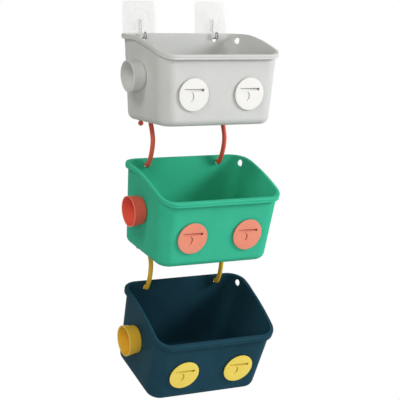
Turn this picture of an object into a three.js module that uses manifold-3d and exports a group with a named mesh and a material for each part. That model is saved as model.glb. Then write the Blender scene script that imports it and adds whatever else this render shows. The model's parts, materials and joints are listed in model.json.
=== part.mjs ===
// Hanging bath toy organizer: three bins in a column, linked by rod hooks, on two adhesive wall hooks.
// Units are millimetres, +Z is up and the user stands on the -Y side.
// The origin lies on the wall, midway between the two wall plates.
import * as THREE from 'three';
import { mergeVertices } from 'three/addons/utils/BufferGeometryUtils.js';
import Module from 'manifold-3d';

const wasm = await Module();
wasm.setup();

const degrees = THREE.MathUtils.degToRad;
const lerp = THREE.MathUtils.lerp;

// Fits
const SEAT_GAP = 0.3; // left between pieces that touch
const HANG_GAP = 0.8; // left above a hook that carries a bin
const CUT_MARGIN = 2; // how far a cutter runs past the wall it cuts
const JOIN_DEPTH = 0.3; // how far joined shapes run into each other

// Bin shell, measured on the outside
const BIN_WIDTH = 192.4; // across the floor
const BIN_DEPTH = 141; // from the top of the back wall to the foot of the front wall
const BACK_HEIGHT = 134.3;
const FRONT_HEIGHT = 110;
const SIDE_DRAFT = degrees(3.85);
const FRONT_DRAFT = degrees(3.4);
const BACK_DRAFT = degrees(1);
const WALL = 2.4;
const CORNER_RADIUS = 22;
const BASE_RADIUS = 11.4;
const SLOPE_START = 36; // distance from the back at which the side rim starts to fall
const SLOPE_EASE = 1.6; // how gently it starts: 1 falls in a straight line
const BIN_TILT = { gray: degrees(3.4), green: degrees(12.7), navy: degrees(23.1) };

// Rim that runs round the bin: a flange with a skirt, wide in front and slim where the sides fall
const RIM_OUT = 6.5;
const SIDE_OUT = 2.8;
const CORNER_OUT = 5; // at the back corners
const RIM_HEIGHT = 7.6;
const SIDE_HEIGHT = 6.2;
const SIDE_SPAN = [24, 60]; // distances from the back over which the rim slims down
const RIM_THICK = 2;
const RIM_GAP = 1; // least room between the skirt and the wall
const RIM_EDGE = 1.1;
const BACK_LIP_OUT = 3.2;
const BACK_LIP_HEIGHT = 3.6;

// Holes of the bin
const HANG_X = 65; // both back holes, and the hooks in them, to each side of the middle
const HANG_HOLE_WIDTH = 8.8;
const HANG_HOLE_HEIGHT = 9.8;
const HANG_HOLE_TOP = 5.3; // below the top of the back wall
const SIDE_HOLE_WIDTH = 11.5;
const SIDE_HOLE_HEIGHT = 10;
const SIDE_HOLE_DOWN = 10.7; // centre, below the top of the back wall
const SIDE_HOLE_IN = 14.4; // centre, in front of the back wall

// Discs on the front wall
const DISC_DIAMETER = 50.6;
const DISC_THICK = 2.8;
const DISC_EDGE = 1;
const DISC_X = 48.7;
const DISC_Z = 49.3;
const SLOT_LENGTH = 34;
const SLOT_HEIGHT = 4;
const SLOT_UP = 7;
const POCKET_DIAMETER = 16;
const POCKET_X = -7.4;
const POCKET_DOWN = 3.2;
const RECESS_DEPTH = 1.4;

// Cup on the left wall
const CUP_MOUTH_RADIUS = 24.6;
const CUP_BASE_RADIUS = 21.8;
const CUP_LENGTH = 23;
const CUP_WALL = 1.7;
const CUP_BASE_EDGE = 3;
const CUP_IN = 69.4; // centre, in front of the back wall
const CUP_Z = 73.3;

// Snap stems that hold the cup and the discs in the bin walls
const STEM_RADIUS = 5;
const BARB_OUT = 1.2;
const BARB_LENGTH = 3;

// Link hooks
const ROD_RADIUS = 3.7;
const BALL_RADIUS = 4.3;
const ARCH_RADIUS = 11.6; // of the rod's centre line
const ARCH_TOE = degrees(15); // the arch turns outwards from the rod
const LEG_IN = 35; // rod at the floor, in front of the back wall
const HOOK_DROP = 68.2; // from the arch centre down to the tail
const TAIL_IN = 5; // tail at the bin wall, behind the arch centre
const TAIL_LENGTH = 9;
const TAIL_RISE = degrees(13);
const BOW_OUT = 7.4; // how far the rod bows forward of its leg
const BOW_PATH = [[0.6, 0.18], [1, 0.42]]; // shares of the bow and of the drop, going out
const RETURN_PATH = [[0.12, 0.62], [0.38, 0.82], [0.66, 0.955]]; // the same from the bow back to the tail
const TIP_DROP = 2.2;
const WEB_HALF = 3.6; // half the bar between the two floor slots of a hook
const SLOT_CLEARANCE = 1.8;
const SLOT_CORNER = 3.6;
const SWING_ROOM = 5; // extra length of the front slot, for the rod to swing
const HOOK_ROLL = { coral: degrees(-1.6), yellow: degrees(-5.8) };

// Wall hooks
const PLATE_SIZE = 60;
const PLATE_CORNER = 7;
const PLATE_THICK = 1.5;
const PAD_SIZE = 56;
const PAD_THICK = 0.8;
const BOSS_RADIUS = 16;
const BOSS_FACE_RADIUS = 13;
const BOSS_HEIGHT = 5.2;
const WIRE_RADIUS = 1.1;
const WIRE_SPACING = 4.6;
const WIRE_BEND = 4.2;
const WIRE_TIP_RISE = 8; // tip of the hairpin above its run through the bin wall
const WIRE_RUN = 8.6; // straight run through the bin wall
const PLATE_RISE = 28.4; // plate centre above the hang point of the top bin

// Facets
const CORNER_STEPS = 4;
const SIDE_STEPS = 8;
const BASE_STEPS = 3;
const ROUND_STEPS = 20;
const HOLE_STEPS = 12;
const ROD_SIDES = 4; // in half a turn
const ROD_STEPS = 30;
const WIRE_SIDES = 3; // in half a turn
const WIRE_STEPS = 44;
const BLOCK_STEPS = 2;
const BEND_STEPS = 3;

const FINISHES = {
  gray: { color: 0xd6d7d4, roughness: 0.45, metalness: 0 },
  green: { color: 0x50b492, roughness: 0.45, metalness: 0 },
  navy: { color: 0x25424e, roughness: 0.45, metalness: 0 },
  white: { color: 0xf3f3f1, roughness: 0.4, metalness: 0 },
  coral: { color: 0xe8836c, roughness: 0.45, metalness: 0 },
  yellow: { color: 0xe0c050, roughness: 0.45, metalness: 0 },
  clear: { color: 0xf2f4f5, roughness: 0.1, metalness: 0 },
  pad: { color: 0xe9ebec, roughness: 0.6, metalness: 0 },
  steel: { color: 0xb8babd, roughness: 0.25, metalness: 1 },
};

function makeMesh(name, geometry, finish) {
  const mesh = new THREE.Mesh(geometry, new THREE.MeshStandardMaterial(FINISHES[finish]));
  mesh.name = name;
  return mesh;
}

// Solids for cutting and joining

function toSolid(geometry) {
  const bare = geometry.clone();
  bare.deleteAttribute('normal');
  bare.deleteAttribute('uv');
  const merged = mergeVertices(bare);
  const triangles = [];
  for (let i = 0; i < merged.index.count; i += 3) {
    const corners = [0, 1, 2].map((step) => merged.index.getX(i + step));
    if (new Set(corners).size === 3) triangles.push(...corners);
  }
  const vertProperties = new Float32Array(merged.attributes.position.array);
  const triVerts = new Uint32Array(triangles);
  return new wasm.Manifold(new wasm.Mesh({ numProp: 3, vertProperties, triVerts }));
}

function toGeometry(solid) {
  const mesh = solid.getMesh();
  const geometry = new THREE.BufferGeometry();
  geometry.setAttribute('position', new THREE.BufferAttribute(mesh.vertProperties, 3));
  geometry.setIndex(new THREE.BufferAttribute(mesh.triVerts, 1));
  geometry.computeVertexNormals();
  return geometry;
}

function cutAll(geometry, cutters) {
  let solid = toSolid(geometry);
  for (const cutter of cutters) solid = solid.subtract(toSolid(cutter));
  return toGeometry(solid);
}

function joinAll(geometries) {
  let solid = toSolid(geometries[0]);
  for (const geometry of geometries.slice(1)) solid = solid.add(toSolid(geometry));
  return toGeometry(solid);
}

// A turned piece about +Z, from [radius, z] pairs that start and end on the axis
function turnedPiece(profile) {
  const points = profile.map(([radius, z]) => new THREE.Vector2(radius, z));
  return new THREE.LatheGeometry(points, ROUND_STEPS).rotateX(Math.PI / 2);
}

// An oval hole along Y
function ovalCutter(width, height, length) {
  return new THREE.CylinderGeometry(1, 1, length, HOLE_STEPS).scale(width / 2, 1, height / 2);
}

function roundedRectangle(width, height, radius) {
  const x = width / 2 - radius;
  const y = height / 2 - radius;
  const shape = new THREE.Shape();
  shape.absarc(x, y, radius, 0, Math.PI / 2);
  shape.absarc(-x, y, radius, Math.PI / 2, Math.PI);
  shape.absarc(-x, -y, radius, Math.PI, 1.5 * Math.PI);
  shape.absarc(x, -y, radius, 1.5 * Math.PI, 2 * Math.PI);
  return shape;
}

function roundedBlock(width, height, radius, depth) {
  const options = { depth, bevelEnabled: false, curveSegments: BLOCK_STEPS };
  return new THREE.ExtrudeGeometry(roundedRectangle(width, height, radius), options);
}

function rodAlong(points, radius, sides, steps) {
  const section = new THREE.Shape().absarc(0, 0, radius, 0, 2 * Math.PI);
  const path = new THREE.CatmullRomCurve3(points);
  const options = { steps, curveSegments: sides, extrudePath: path };
  return new THREE.ExtrudeGeometry(section, options);
}

// Bin shell. Its own frame has z = 0 under the floor and y = 0 at the top of the back wall.

const backFace = (z) => -(BACK_HEIGHT - z) * Math.tan(BACK_DRAFT);
const frontFace = (z) => -(BIN_DEPTH + z * Math.tan(FRONT_DRAFT));
const sideFace = (z) => BIN_WIDTH / 2 + z * Math.tan(SIDE_DRAFT);
const hangHoleTop = BACK_HEIGHT - HANG_HOLE_TOP;
const hangPoint = new THREE.Vector3(0, backFace(hangHoleTop) - WALL / 2, hangHoleTop);

// The rim is level at the back, falls along the sides and is level again at the front
function rimTop(y) {
  const end = frontFace(FRONT_HEIGHT);
  const share = THREE.MathUtils.clamp((-SLOPE_START - y) / (-SLOPE_START - end), 0, 1);
  return lerp(BACK_HEIGHT, FRONT_HEIGHT, share ** SLOPE_EASE);
}

// One point of the bin's plan at a height, pushed out from the wall by a distance
function cornerPoint(corner, share, z, out) {
  const radius = CORNER_RADIUS + out;
  const x = corner.side * (sideFace(z) + out - radius);
  const y = corner.back ? backFace(z) + out - radius : frontFace(z) - out + radius;
  const angle = corner.start + (share * Math.PI) / 2;
  return new THREE.Vector2(x + radius * Math.cos(angle), y + radius * Math.sin(angle));
}

const CORNERS = [
  { side: 1, back: false, start: -Math.PI / 2 },
  { side: 1, back: true, start: 0 },
  { side: -1, back: true, start: Math.PI / 2 },
  { side: -1, back: false, start: Math.PI },
];

// Places round the plan, each a function of height and offset, with its shares of the back lip and the front
function planStations() {
  const stations = [];
  CORNERS.forEach((corner, index) => {
    const next = CORNERS[(index + 1) % CORNERS.length];
    for (let step = 0; step <= CORNER_STEPS; step += 1) {
      const share = step / CORNER_STEPS;
      const towardsEnd = corner.back === corner.side > 0 ? share : 1 - share;
      const turned = THREE.MathUtils.smoothstep(towardsEnd, 0, 1);
      const lip = corner.back ? turned : 0;
      const front = corner.back ? 0 : turned;
      stations.push({ lip, front, at: (z, out) => cornerPoint(corner, share, z, out) });
    }
    const runsAlongSide = corner.side === next.side;
    for (let step = 1; runsAlongSide && step < SIDE_STEPS; step += 1) {
      const share = step / SIDE_STEPS;
      const from = (z, out) => cornerPoint(corner, 1, z, out);
      const to = (z, out) => cornerPoint(next, 0, z, out);
      stations.push({ lip: 0, front: 0, at: (z, out) => from(z, out).lerp(to(z, out), share) });
    }
  });
  return stations;
}

// The wall's section at one station, as [offset, z] from under the floor, over the rim, to inside the floor
function wallSection(station) {
  const { y } = station.at(FRONT_HEIGHT, 0);
  const top = rimTop(y);
  const slim = THREE.MathUtils.smoothstep(-y, ...SIDE_SPAN);
  const backOut = lerp(CORNER_OUT, BACK_LIP_OUT, station.lip);
  const out = lerp(backOut, lerp(SIDE_OUT, RIM_OUT, station.front), slim);
  const backHeight = lerp(RIM_HEIGHT, BACK_LIP_HEIGHT, station.lip);
  const skirt = top - lerp(backHeight, lerp(SIDE_HEIGHT, RIM_HEIGHT, station.front), slim);
  const inside = Math.max(out - RIM_THICK, RIM_GAP);
  const section = [];
  for (let step = 0; step <= BASE_STEPS; step += 1) {
    const angle = (step / BASE_STEPS) * (Math.PI / 2);
    section.push([BASE_RADIUS * (Math.sin(angle) - 1), BASE_RADIUS * (1 - Math.cos(angle))]);
  }
  section.push([0, top - RIM_THICK], [inside, top - RIM_THICK], [inside, skirt]);
  section.push([out, skirt], [out, top - RIM_EDGE], [out - RIM_EDGE, top], [-WALL, top]);
  const innerRadius = BASE_RADIUS - WALL;
  for (let step = BASE_STEPS; step >= 0; step -= 1) {
    const angle = (step / BASE_STEPS) * (Math.PI / 2);
    const z = WALL + innerRadius * (1 - Math.cos(angle));
    section.push([-WALL + innerRadius * (Math.sin(angle) - 1), z]);
  }
  return section;
}

function binShell() {
  const stations = planStations();
  const sections = stations.map(wallSection);
  const ringCount = sections[0].length;
  const middle = (backFace(0) + frontFace(0)) / 2;
  const vertices = [0, middle, 0, 0, middle, WALL];
  for (let ring = 0; ring < ringCount; ring += 1) {
    stations.forEach((station, index) => {
      const [out, z] = sections[index][ring];
      const point = station.at(z, out);
      vertices.push(point.x, point.y, z);
    });
  }
  const vertexAt = (ring, index) => 2 + ring * stations.length + (index % stations.length);
  const triangles = [];
  for (let index = 0; index < stations.length; index += 1) {
    triangles.push(0, vertexAt(0, index + 1), vertexAt(0, index));
    for (let ring = 0; ring + 1 < ringCount; ring += 1) {
      const low = [vertexAt(ring, index), vertexAt(ring, index + 1)];
      const high = [vertexAt(ring + 1, index), vertexAt(ring + 1, index + 1)];
      triangles.push(low[0], low[1], high[1], low[0], high[1], high[0]);
    }
    triangles.push(1, vertexAt(ringCount - 1, index), vertexAt(ringCount - 1, index + 1));
  }
  const geometry = new THREE.BufferGeometry();
  geometry.setAttribute('position', new THREE.Float32BufferAttribute(vertices, 3));
  geometry.setIndex(triangles);
  return geometry;
}

// Places of what fits on the bin

function discPlace(side) {
  const place = new THREE.Object3D();
  place.position.set(side * DISC_X, frontFace(DISC_Z), DISC_Z);
  place.rotation.x = Math.PI / 2 + FRONT_DRAFT;
  place.updateMatrix();
  return place.matrix;
}

function cupPlace() {
  const place = new THREE.Object3D();
  place.position.set(-sideFace(CUP_Z), -CUP_IN, CUP_Z);
  place.rotation.y = -(Math.PI / 2 + SIDE_DRAFT);
  place.updateMatrix();
  return place.matrix;
}

// Link hook against the floor: the arch stands on the two edges of the bar between its slots
const archInside = ARCH_RADIUS - ROD_RADIUS - SEAT_GAP;
const archBelowFloor = Math.sqrt(archInside ** 2 - WEB_HALF ** 2) - WALL;
const archReach = Math.sqrt((ARCH_RADIUS + ROD_RADIUS) ** 2 - archBelowFloor ** 2) + SLOT_CLEARANCE;
const archOffset = new THREE.Vector2(Math.sin(ARCH_TOE), Math.cos(ARCH_TOE)).multiplyScalar(ARCH_RADIUS);
const archCentre = new THREE.Vector3(HANG_X + archOffset.x, archOffset.y - LEG_IN, -archBelowFloor);

// Two slots in line with the arch, the front one carried on forwards under the rod
function floorSlotCutters(side) {
  const width = 2 * (ROD_RADIUS + SLOT_CLEARANCE);
  const length = archReach - WEB_HALF;
  const depth = BASE_RADIUS + CUT_MARGIN;
  const cutters = [-1, 1].map((end) => {
    const cutter = roundedBlock(width, length, SLOT_CORNER, depth);
    cutter.translate(0, end * (WEB_HALF + length / 2), -CUT_MARGIN);
    cutter.rotateZ(-side * ARCH_TOE);
    return cutter.translate(side * archCentre.x, archCentre.y, 0);
  });
  const swing = roundedBlock(width, width + SWING_ROOM, SLOT_CORNER, depth);
  cutters.push(swing.translate(side * HANG_X, -LEG_IN - SWING_ROOM / 2, -CUT_MARGIN));
  return cutters;
}

function binCutters() {
  const cutters = [];
  const through = 2 * (WALL + CUT_MARGIN);
  const stemRadius = (STEM_RADIUS + SEAT_GAP) / Math.cos(Math.PI / HOLE_STEPS);
  const stemHole = new THREE.CylinderGeometry(stemRadius, stemRadius, through, HOLE_STEPS);
  stemHole.rotateX(Math.PI / 2);
  const holeZ = hangHoleTop - HANG_HOLE_HEIGHT / 2;
  for (const side of [-1, 1]) {
    const hangHole = ovalCutter(HANG_HOLE_WIDTH, HANG_HOLE_HEIGHT, through);
    cutters.push(hangHole.translate(side * HANG_X, backFace(holeZ) - WALL / 2, holeZ));
    cutters.push(stemHole.clone().applyMatrix4(discPlace(side)));
    cutters.push(...floorSlotCutters(side));
  }
  const sideZ = BACK_HEIGHT - SIDE_HOLE_DOWN;
  const sideHole = ovalCutter(SIDE_HOLE_WIDTH, SIDE_HOLE_HEIGHT, 2 * (RIM_OUT + CUT_MARGIN));
  cutters.push(sideHole.rotateZ(Math.PI / 2).translate(sideFace(sideZ), -SIDE_HOLE_IN, sideZ));
  cutters.push(stemHole.clone().applyMatrix4(cupPlace()));
  return cutters;
}

// Snap stem behind a disc or cup, as [radius, z] from its tip to the piece's back at z = SEAT_GAP
function stemProfile() {
  const behindWall = -(WALL + SEAT_GAP);
  return [
    [0, behindWall - BARB_LENGTH],
    [STEM_RADIUS - BARB_OUT, behindWall - BARB_LENGTH],
    [STEM_RADIUS + BARB_OUT, behindWall - BARB_OUT],
    [STEM_RADIUS + BARB_OUT, behindWall],
    [STEM_RADIUS, behindWall],
    [STEM_RADIUS, SEAT_GAP],
  ];
}

function disc() {
  const radius = DISC_DIAMETER / 2;
  const body = turnedPiece([
    ...stemProfile(),
    [radius - DISC_EDGE, SEAT_GAP],
    [radius, SEAT_GAP + DISC_EDGE],
    [radius, DISC_THICK - DISC_EDGE],
    [radius - DISC_EDGE, DISC_THICK],
    [0, DISC_THICK],
  ]);
  const floor = DISC_THICK - RECESS_DEPTH;
  const depth = RECESS_DEPTH + CUT_MARGIN;
  const slot = roundedBlock(SLOT_LENGTH, SLOT_HEIGHT, SLOT_HEIGHT / 3, depth).translate(0, SLOT_UP, floor);
  const pocket = new THREE.CylinderGeometry(POCKET_DIAMETER / 2, POCKET_DIAMETER / 2, depth, HOLE_STEPS);
  pocket.rotateX(Math.PI / 2).translate(POCKET_X, -POCKET_DOWN, floor + depth / 2);
  return cutAll(body, [slot, pocket]);
}

function sideCup() {
  return toGeometry(toSolid(turnedPiece([
    ...stemProfile(),
    [CUP_BASE_RADIUS - CUP_BASE_EDGE, SEAT_GAP],
    [CUP_BASE_RADIUS - CUP_BASE_EDGE / 4, SEAT_GAP + CUP_BASE_EDGE / 4],
    [CUP_BASE_RADIUS, SEAT_GAP + CUP_BASE_EDGE],
    [CUP_MOUTH_RADIUS, CUP_LENGTH],
    [CUP_MOUTH_RADIUS - CUP_WALL, CUP_LENGTH],
    [CUP_BASE_RADIUS - CUP_WALL, SEAT_GAP + CUP_BASE_EDGE + CUP_WALL],
    [CUP_BASE_RADIUS - CUP_BASE_EDGE, SEAT_GAP + CUP_WALL],
    [0, SEAT_GAP + CUP_WALL],
  ])));
}

// Link hook about its arch centre: ball tip, arch, bowed rod, then a tail through the next bin's back wall
const tail = new THREE.Vector3(0, TAIL_IN, -HOOK_DROP);

function linkHook(side) {
  const points = [];
  const onArch = (angle, drop) => {
    const reach = Math.cos(angle);
    const x = side * archOffset.x * reach;
    return new THREE.Vector3(x, archOffset.y * reach, ARCH_RADIUS * Math.sin(angle) - drop);
  };
  points.push(onArch(0, TIP_DROP));
  const archSteps = 4 * BEND_STEPS;
  for (let step = 0; step <= archSteps; step += 1) points.push(onArch((step / archSteps) * Math.PI, 0));
  const legX = -side * archOffset.x;
  const legY = -archOffset.y;
  const bowY = legY - BOW_OUT;
  const addPath = (path, from, to) => {
    for (const [share, drop] of path) {
      points.push(new THREE.Vector3(legX, lerp(from, to, share), -HOOK_DROP * drop));
    }
  };
  addPath(BOW_PATH, legY, bowY);
  addPath(RETURN_PATH, bowY, TAIL_IN);
  points.push(new THREE.Vector3(legX, tail.y - ROD_RADIUS, tail.z - Math.sin(TAIL_RISE) * ROD_RADIUS));
  points.push(new THREE.Vector3(legX, tail.y, tail.z));
  const tailRun = new THREE.Vector3(0, Math.cos(TAIL_RISE), Math.sin(TAIL_RISE)).multiplyScalar(TAIL_LENGTH);
  points.push(new THREE.Vector3(legX, tail.y, tail.z).add(tailRun));
  const rod = rodAlong(points, ROD_RADIUS, ROD_SIDES, ROD_STEPS);
  const ball = new THREE.SphereGeometry(BALL_RADIUS, 2 * ROD_SIDES, ROD_SIDES + 1);
  const ends = [points[0], points[points.length - 1]];
  return joinAll([rod, ...ends.map((end) => ball.clone().translate(end.x, end.y, end.z))]);
}

// Wall hooks: pad on the wall, plate on the pad, hairpin in the boss

const plateBack = -(PAD_THICK + SEAT_GAP);
const plateFront = plateBack - PLATE_THICK;
const wireY = plateFront - BOSS_HEIGHT / 2;
const wireX = WIRE_SPACING / 2;

// The hairpin's two wires lie in the round top of the hang hole, each clear of it at 45 degrees
const wireShoulder = wireX + WIRE_RADIUS * Math.SQRT1_2;
const holeCrown = 1 - Math.sqrt(1 - (wireShoulder / (HANG_HOLE_WIDTH / 2)) ** 2);
const wireBelowHang = (HANG_HOLE_HEIGHT / 2) * holeCrown + WIRE_RADIUS * Math.SQRT1_2 + HANG_GAP;
const wireRunZ = -PLATE_RISE - wireBelowHang;

function wallPlate() {
  const plate = roundedBlock(PLATE_SIZE, PLATE_SIZE, PLATE_CORNER, PLATE_THICK).rotateX(Math.PI / 2);
  plate.translate(0, plateBack, 0);
  const boss = new THREE.CylinderGeometry(BOSS_RADIUS, BOSS_FACE_RADIUS, BOSS_HEIGHT, ROUND_STEPS);
  boss.translate(0, plateFront - BOSS_HEIGHT / 2 + JOIN_DEPTH, 0);
  const bores = [-1, 1].map((side) => {
    const bore = new THREE.CylinderGeometry(1, 1, BOSS_RADIUS + CUT_MARGIN, HOLE_STEPS / 2);
    bore.scale(WIRE_RADIUS + SEAT_GAP, 1, WIRE_RADIUS + SEAT_GAP).rotateX(Math.PI / 2);
    return bore.translate(side * wireX, wireY, -(BOSS_RADIUS + CUT_MARGIN) / 2);
  });
  return cutAll(joinAll([plate, boss]), bores);
}

function wallPad() {
  const pad = roundedBlock(PAD_SIZE, PAD_SIZE, PLATE_CORNER, PAD_THICK).rotateX(Math.PI / 2);
  return toGeometry(toSolid(pad));
}

function wireHook() {
  const leg = [new THREE.Vector3(wireX, wireY, -WIRE_RADIUS)];
  leg.push(new THREE.Vector3(wireX, wireY, wireRunZ + 2 * WIRE_BEND));
  const bend = (y, z, from) => {
    for (let step = 0; step <= BEND_STEPS; step += 1) {
      const angle = from - (step / BEND_STEPS) * (Math.PI / 2);
      leg.push(new THREE.Vector3(wireX, y + WIRE_BEND * Math.cos(angle), z + WIRE_BEND * Math.sin(angle)));
    }
  };
  bend(wireY - WIRE_BEND, wireRunZ + WIRE_BEND, 0);
  bend(wireY - WIRE_BEND - WIRE_RUN, wireRunZ + WIRE_BEND, -Math.PI / 2);
  const tipY = wireY - 2 * WIRE_BEND - WIRE_RUN;
  const tipZ = wireRunZ + WIRE_TIP_RISE;
  for (let step = 0; step <= BEND_STEPS; step += 1) {
    const angle = (step / BEND_STEPS) * (Math.PI / 2);
    leg.push(new THREE.Vector3(wireX * Math.cos(angle), tipY, tipZ + wireX * Math.sin(angle)));
  }
  const otherLeg = leg.slice(0, -1).reverse();
  const path = [...leg, ...otherLeg.map((point) => new THREE.Vector3(-point.x, point.y, point.z))];
  return toGeometry(toSolid(rodAlong(path, WIRE_RADIUS, WIRE_SIDES, WIRE_STEPS)));
}

// Assembly

const organizer = new THREE.Group();
const SIDES = { left: -1, right: 1 };

for (const [sideName, side] of Object.entries(SIDES)) {
  const wallHook = new THREE.Group();
  wallHook.position.x = side * HANG_X;
  wallHook.add(makeMesh(`wall_pad_${sideName}`, wallPad(), 'pad'));
  wallHook.add(makeMesh(`wall_plate_${sideName}`, wallPlate(), 'clear'));
  wallHook.add(makeMesh(`wire_hook_${sideName}`, wireHook(), 'steel'));
  organizer.add(wallHook);
}

// Adds a bin with its cup and discs so that its hang point lies at a place in the Y-Z plane
function addBin(binColor, cupColor, discColor, place) {
  const bin = new THREE.Group();
  bin.rotation.x = BIN_TILT[binColor];
  bin.position.copy(place).sub(hangPoint.clone().applyEuler(bin.rotation));
  bin.add(makeMesh(`${binColor}_bin`, cutAll(binShell(), binCutters()), binColor));
  const cup = makeMesh(`${cupColor}_side_cup`, sideCup(), cupColor);
  cup.applyMatrix4(cupPlace());
  bin.add(cup);
  for (const [sideName, side] of Object.entries(SIDES)) {
    const face = makeMesh(`${discColor}_disc_${sideName}`, disc(), discColor);
    face.applyMatrix4(discPlace(side));
    bin.add(face);
  }
  organizer.add(bin);
  return bin;
}

// Adds the pair of hooks that hangs in a bin's floor, and returns where the next bin hangs
function addLinkHooks(color, bin) {
  bin.updateMatrixWorld(true);
  const pair = new THREE.Group();
  pair.position.set(0, archCentre.y, archCentre.z);
  bin.localToWorld(pair.position);
  pair.rotation.x = HOOK_ROLL[color];
  for (const [sideName, side] of Object.entries(SIDES)) {
    const hook = makeMesh(`${color}_hook_${sideName}`, linkHook(side), color);
    hook.position.x = side * archCentre.x;
    pair.add(hook);
  }
  organizer.add(pair);
  pair.updateMatrixWorld(true);
  return pair.localToWorld(tail.clone().add(new THREE.Vector3(0, 0, ROD_RADIUS + HANG_GAP)));
}

const wallHang = new THREE.Vector3(0, wireY - WIRE_BEND - WIRE_RUN / 2, -PLATE_RISE);
const grayBin = addBin('gray', 'gray', 'white', wallHang);
const greenBin = addBin('green', 'coral', 'coral', addLinkHooks('coral', grayBin));
addBin('navy', 'yellow', 'yellow', addLinkHooks('yellow', greenBin));

export default organizer;
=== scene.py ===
# Hanging bath toy organizer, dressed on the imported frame.
# Units are metres, +Z is up and the user stands on the -Y side.
import json
from math import asin, cos, pi, radians, sin, sqrt, tan

import bmesh
import bpy
from mathutils import Matrix, Vector


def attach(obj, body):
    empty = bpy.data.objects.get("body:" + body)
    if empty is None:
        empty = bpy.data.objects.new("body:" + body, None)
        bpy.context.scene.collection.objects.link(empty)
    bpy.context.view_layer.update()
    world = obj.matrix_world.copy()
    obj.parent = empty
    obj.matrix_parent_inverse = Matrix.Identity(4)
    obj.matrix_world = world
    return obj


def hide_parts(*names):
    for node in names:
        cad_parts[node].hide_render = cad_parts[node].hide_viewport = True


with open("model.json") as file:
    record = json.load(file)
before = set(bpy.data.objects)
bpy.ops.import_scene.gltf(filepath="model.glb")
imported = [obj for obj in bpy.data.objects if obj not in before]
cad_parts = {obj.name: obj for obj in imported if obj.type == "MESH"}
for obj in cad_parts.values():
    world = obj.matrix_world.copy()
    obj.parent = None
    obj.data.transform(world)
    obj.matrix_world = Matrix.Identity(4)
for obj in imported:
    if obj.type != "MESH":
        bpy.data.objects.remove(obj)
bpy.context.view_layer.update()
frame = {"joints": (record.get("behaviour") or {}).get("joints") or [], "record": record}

MM = 0.001

# Fits, as in the solids
SEAT_GAP = 0.3 * MM
CUT_MARGIN = 2 * MM

# Bin shell, in its own frame: z = 0 under the floor, y = 0 at the top of the back wall
BIN_WIDTH = 192.4 * MM
BIN_DEPTH = 141 * MM
BACK_HEIGHT = 134.3 * MM
FRONT_HEIGHT = 110 * MM
SIDE_DRAFT = radians(3.85)
FRONT_DRAFT = radians(3.4)
BACK_DRAFT = radians(1)
WALL = 2.4 * MM
CORNER_RADIUS = 22 * MM
BASE_RADIUS = 11.4 * MM
SLOPE_START = 36 * MM
SLOPE_EASE = 1.6
BIN_TILT = {"gray": radians(3.4), "green": radians(12.7), "navy": radians(23.1)}

# Rim: a flange with a grooved skirt, wide and deep in front, slim where the sides fall
RIM_OUT = 6.5 * MM
SIDE_OUT = 2.8 * MM
CORNER_OUT = 5 * MM  # at the back corners
RIM_HEIGHT = 7.6 * MM
SIDE_HEIGHT = 6.2 * MM
SIDE_SPAN = (24 * MM, 60 * MM)  # distances from the back over which the rim slims down
RIM_THICK = 2 * MM
RIM_GAP = 1 * MM  # least room between the skirt and the wall
BACK_LIP_OUT = 3.2 * MM
BACK_LIP_HEIGHT = 3.6 * MM
RIM_OUTER_ROUND = 2.2 * MM
SIDE_OUTER_ROUND = 1.8 * MM
RIM_INNER_ROUND = 1 * MM
SKIRT_EDGE_ROUND = 0.5 * MM
UNDER_WALL_FILLET = 0.6 * MM
FILLET_LIMIT = 0.45  # largest fillet, as a share of the room under the flange
GROOVE_DEPTH = 0.5 * MM
GROOVE_SPAN = (0.14, 0.55)  # from the skirt's edge, as shares of its height

# Holes of the bin
HANG_X = 65 * MM
HANG_HOLE_WIDTH = 8 * MM
HANG_HOLE_HEIGHT = 9 * MM
HANG_HOLE_TOP = 5.3 * MM
SIDE_HOLE_WIDTH = 10 * MM
SIDE_HOLE_HEIGHT = 11.6 * MM
SIDE_HOLE_DOWN = 10.7 * MM
SIDE_HOLE_IN = 14.4 * MM
HOLE_CHAMFER = 0.2 * MM

# Discs on the front wall, each with a slot and a round pocket whose floors fall to the right
DISC_RADIUS = 25.3 * MM
DISC_THICK = 2.8 * MM
DISC_FACE_ROUND = 0.5 * MM
DISC_BACK_ROUND = 1.9 * MM
DISC_X = 48.7 * MM
DISC_Z = 49.3 * MM
SLOT_LENGTH = 34 * MM
SLOT_HEIGHT = 4 * MM
SLOT_UP = 7 * MM
POCKET_RADIUS = 8 * MM
POCKET_X = -7.4 * MM
POCKET_DOWN = 3.2 * MM
LINE_HEIGHT = 1.5 * MM  # deep line along the slot's top edge
PIT_LENGTH = 3.2 * MM  # deep right end of the slot
CRESCENT_WIDTH = 2 * MM  # deep crescent along the pocket's right edge
CRESCENT_ANGLES = (-75, 60)
SLOT_DEPTHS = (0.6 * MM, 1.3 * MM)  # at the left end and at the right end, as for the other depths
LINE_DEPTHS = (1.4 * MM, 1.8 * MM)
PIT_DEPTHS = (2.1 * MM, 2.1 * MM)
POCKET_DEPTHS = (0.3 * MM, 0.6 * MM)
CRESCENT_DEPTHS = (1.2 * MM, 1.4 * MM)
SHADE_DEPTHS = (0.5 * MM, 2.1 * MM)  # where the painted shade in a recess starts and where it is full
EDGE_SHADE = 0.8  # share of that painted shade on the undercut edge of the disc
RECESS_DARKER = 0.42  # how far the full painted shade goes towards black

# Cup on the left wall
CUP_MOUTH_RADIUS = 24.6 * MM
CUP_BASE_RADIUS = 21.8 * MM
CUP_LENGTH = 23 * MM
CUP_WALL = 1.7 * MM
CUP_BASE_EDGE = 3 * MM
LIP_HIGHLIGHT_SPAN = 0.9  # share of the lip's round that gets a painted highlight
LIP_HIGHLIGHT = 0.24  # how far the painted highlight goes towards white
CUP_IN = 69.4 * MM
CUP_Z = 73.3 * MM

# Snap stems behind the discs and cups
STEM_RADIUS = 5 * MM
BARB_OUT = 1.2 * MM
BARB_LENGTH = 3 * MM

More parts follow.
